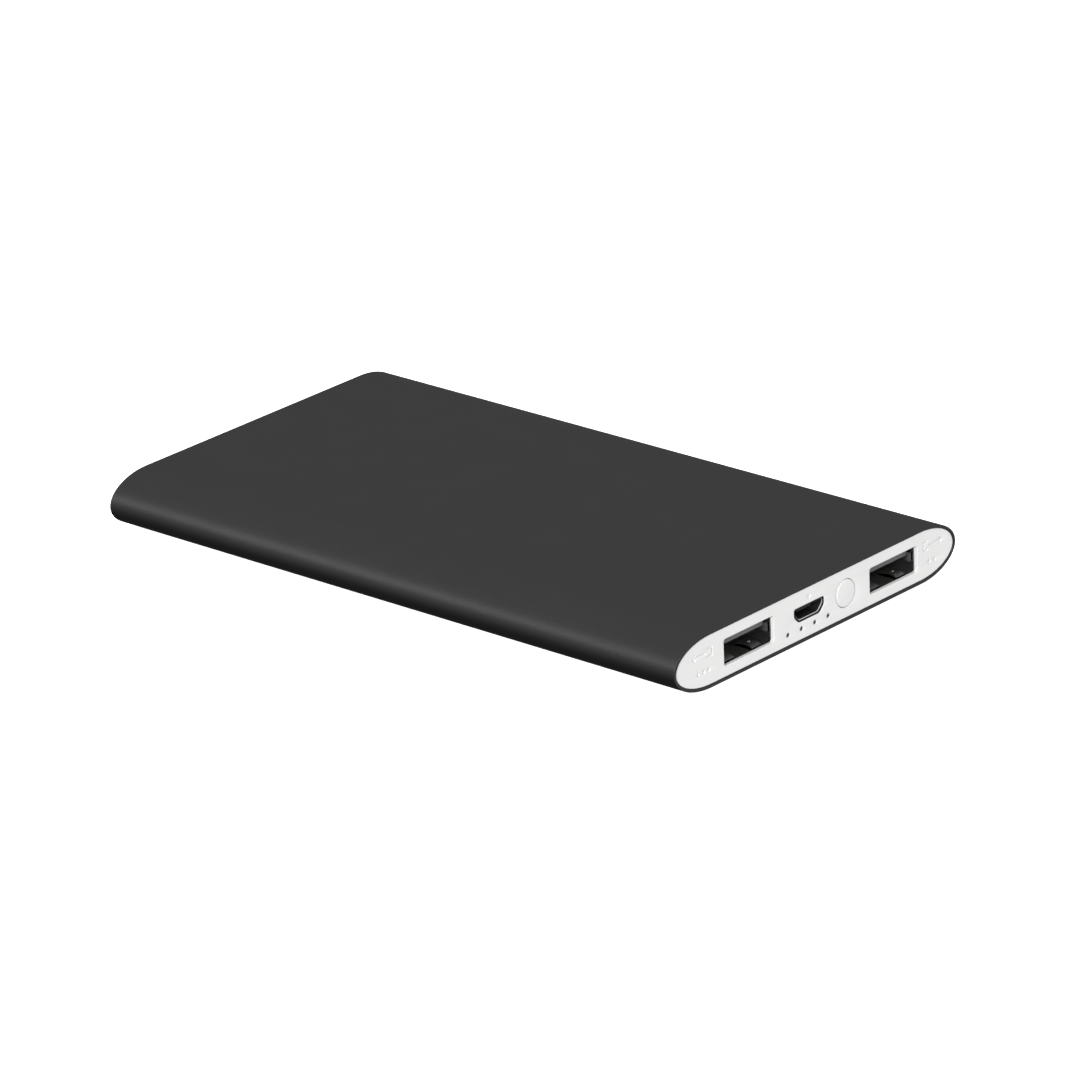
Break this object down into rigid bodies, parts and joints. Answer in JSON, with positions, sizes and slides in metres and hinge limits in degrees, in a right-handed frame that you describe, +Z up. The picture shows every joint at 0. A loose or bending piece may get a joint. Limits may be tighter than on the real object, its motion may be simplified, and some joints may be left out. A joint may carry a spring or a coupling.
{
  "type": "power bank",
  "caption": "Slim power bank with a dark rounded metal sleeve and a white end cap holding USB outputs, a charging input, charge lights and a push button.",
  "frame": {"origin": "middle of the bounding box's bottom face, on the flat face that the power bank rests on", "axes": "+Y along the length, away from the ports, +X across the width, +Z up through the thickness"},
  "size_m": [0.071, 0.124, 0.0096],
  "materials": {
    "anodised_shell": "fine bead-blasted, anodised dark grey, satin",
    "white_plastic": "moulded, fine satin texture",
    "button_plastic": "moulded, slightly glossier than the cap",
    "rear_plate_plastic": "moulded, unpainted",
    "frame_plastic": "moulded, matt black",
    "port_steel": "pressed and nickel plated",
    "port_dark_steel": "pressed and black nickel plated",
    "port_plastic": "moulded, matt black",
    "contact_gold": "gold plated",
    "circuit_board": "green solder mask",
    "cell_foil": "laminated pouch foil",
    "nickel_tab": "rolled strip",
    "foam": "closed-cell foam",
    "screw_steel": "plated",
    "chip_epoxy": "moulded epoxy",
    "capacitor_ceramic": "fired",
    "led_lens": "clear epoxy lens"
  },
  "bodies": {
    "case": {"housing_tube": "anodised_shell", "front_cap": "white_plastic", "rear_cap": "white_plastic", "rear_plate": "rear_plate_plastic", "rear_plate_screw_1": "screw_steel", "rear_plate_screw_2": "screw_steel", "inner_frame": "frame_plastic", "battery_cell": "cell_foil", "cell_tab_positive": "nickel_tab", "cell_tab_negative": "nickel_tab", "foam_pad_bottom": "foam", "foam_pad_top": "foam", "main_board": "circuit_board", "board_screw_1": "screw_steel", "board_screw_2": "screw_steel", "inductor": "chip_epoxy", "charge_controller": "chip_epoxy", "protection_switch": "chip_epoxy", "capacitor_1": "capacitor_ceramic", "capacitor_2": "capacitor_ceramic", "capacitor_3": "capacitor_ceramic", "usb_a_1_shell": "port_dark_steel", "usb_a_1_tongue": "port_plastic", "usb_a_1_contact_1": "contact_gold", "usb_a_1_contact_2": "contact_gold", "usb_a_1_contact_3": "contact_gold", "usb_a_1_contact_4": "contact_gold", "usb_a_2_shell": "port_dark_steel", "usb_a_2_tongue": "port_plastic", "usb_a_2_contact_1": "contact_gold", "usb_a_2_contact_2": "contact_gold", "usb_a_2_contact_3": "contact_gold", "usb_a_2_contact_4": "contact_gold", "micro_usb_shell": "port_steel", "micro_usb_tongue": "port_plastic", "micro_usb_contact_1": "contact_gold", "micro_usb_contact_2": "contact_gold", "micro_usb_contact_3": "contact_gold", "micro_usb_contact_4": "contact_gold", "micro_usb_contact_5": "contact_gold", "led_shroud": "foam", "led_1": "led_lens", "led_2": "led_lens", "led_3": "led_lens", "led_4": "led_lens", "switch_body": "chip_epoxy", "switch_dome": "nickel_tab"},
    "button": {"button_cap": "button_plastic"},
    "plunger": {"switch_plunger": "port_plastic"}
  },
  "joints": [
    {"name": "button_press", "type": "slide", "parent": "case", "child": "button", "axis": [0, 1, 0], "range_m": [0, 0.00025], "stiffness_N_per_m": 4000, "springref_m": -0.00015},
    {"name": "plunger_press", "type": "slide", "parent": "case", "child": "plunger", "axis": [0, 1, 0], "range_m": [0, 0.00025], "deforming": ["switch_dome"]}
  ],
  "couplings": [
    {"joint": "plunger_press", "follows": "button_press", "ratio": 1}
  ]
}
